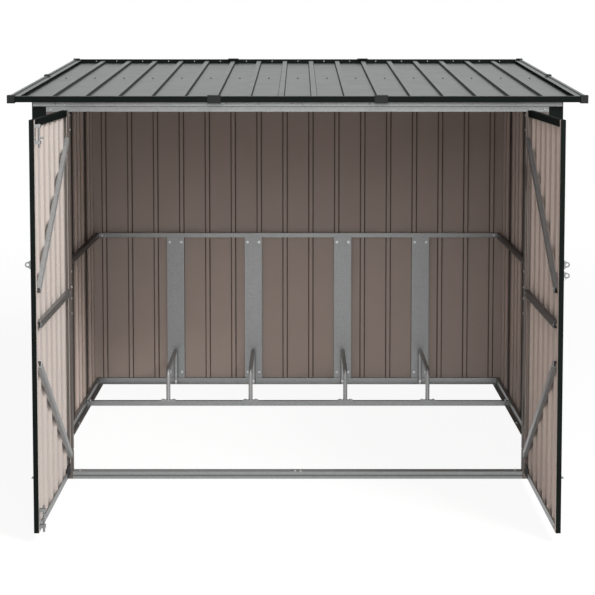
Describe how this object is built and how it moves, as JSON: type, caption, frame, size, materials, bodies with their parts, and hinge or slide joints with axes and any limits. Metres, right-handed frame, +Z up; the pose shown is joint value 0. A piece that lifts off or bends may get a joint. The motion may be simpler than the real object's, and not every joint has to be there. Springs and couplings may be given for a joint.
{
  "type": "bike shed",
  "caption": "Metal bike shed with ribbed sheet walls, a low sloping roof, double doors that swing out and floor hoops along the back that hold a wheel.",
  "frame": {"origin": "on the ground, in the middle of the four anchor bolt holes, which is the middle of the body's plan", "axes": "+X to the right seen from the doors, +Y from the doors to the back wall, +Z up"},
  "size_m": [2.328, 3.1153, 1.6982],
  "materials": {
    "galvanised": "galvanised, satin",
    "green_steel": "dark green paint, semi-gloss",
    "wall_sheet": "coil coated, warm grey inside and dark green outside",
    "roof_sheet": "coil coated, dark green above and warm grey below",
    "black_plastic": "moulded, matt",
    "black_steel": "black paint, satin"
  },
  "bodies": {
    "shed": {"front_sill": "galvanised", "back_base_rail": "galvanised", "left_base_rail": "galvanised", "right_base_rail": "galvanised", "front_header": "galvanised", "back_top_rail": "galvanised", "side_top_rails": "galvanised", "roof_purlin": "galvanised", "back_mid_rail": "galvanised", "side_mid_rails": "galvanised", "rack_floor_bar": "galvanised", "parking_hoop_1": "galvanised", "parking_hoop_2": "galvanised", "parking_hoop_3": "galvanised", "parking_hoop_4": "galvanised", "upright_plates": "galvanised", "anchor_brackets": "galvanised", "front_corner_posts": "green_steel", "back_corner_posts": "green_steel", "front_fascia": "green_steel", "back_fascia": "green_steel", "verge_trims": "green_steel", "left_door_jamb": "wall_sheet", "right_door_jamb": "wall_sheet", "back_wall": "wall_sheet", "left_wall": "wall_sheet", "right_wall": "wall_sheet", "roof_sheet": "roof_sheet", "fascia_corner_caps": "black_plastic", "fascia_joint_covers": "black_plastic", "frame_hinge_leaves": "black_steel"},
    "left_door": {"left_door_bottom_rail": "galvanised", "left_door_braces": "galvanised", "left_door_lock_lug": "galvanised", "left_door_bolt_guides": "galvanised", "left_door_stiles": "green_steel", "left_door_top_rail": "green_steel", "left_door_sheet": "wall_sheet", "left_door_foot_shoe": "black_plastic", "left_door_hinge_leaves": "black_steel"},
    "right_door": {"right_door_bottom_rail": "galvanised", "right_door_braces": "galvanised", "right_door_lock_lugs": "galvanised", "right_door_stiles": "green_steel", "right_door_top_rail": "green_steel", "right_door_sheet": "wall_sheet", "right_door_foot_shoe": "black_plastic", "right_door_hinge_leaves": "black_steel"},
    "left_top_bolt": {"left_door_top_bolt": "galvanised"},
    "left_bottom_bolt": {"left_door_bottom_bolt": "galvanised"}
  },
  "joints": [
    {"name": "left_door_hinge", "type": "hinge", "parent": "shed", "child": "left_door", "pos_m": [-0.941, -1.078, 0.78], "axis": [0, 0, -1], "range_deg": [-90, 80]},
    {"name": "right_door_hinge", "type": "hinge", "parent": "shed", "child": "right_door", "pos_m": [0.941, -1.078, 0.78], "axis": [0, 0, 1], "range_deg": [-90, 80]},
    {"name": "left_top_bolt_slide", "type": "slide", "parent": "left_door", "child": "left_top_bolt", "axis": [0, 0, 1], "range_m": [0, 0.025]},
    {"name": "left_bottom_bolt_slide", "type": "slide", "parent": "left_door", "child": "left_bottom_bolt", "axis": [0, 0, -1], "range_m": [0, 0.025]}
  ]
}
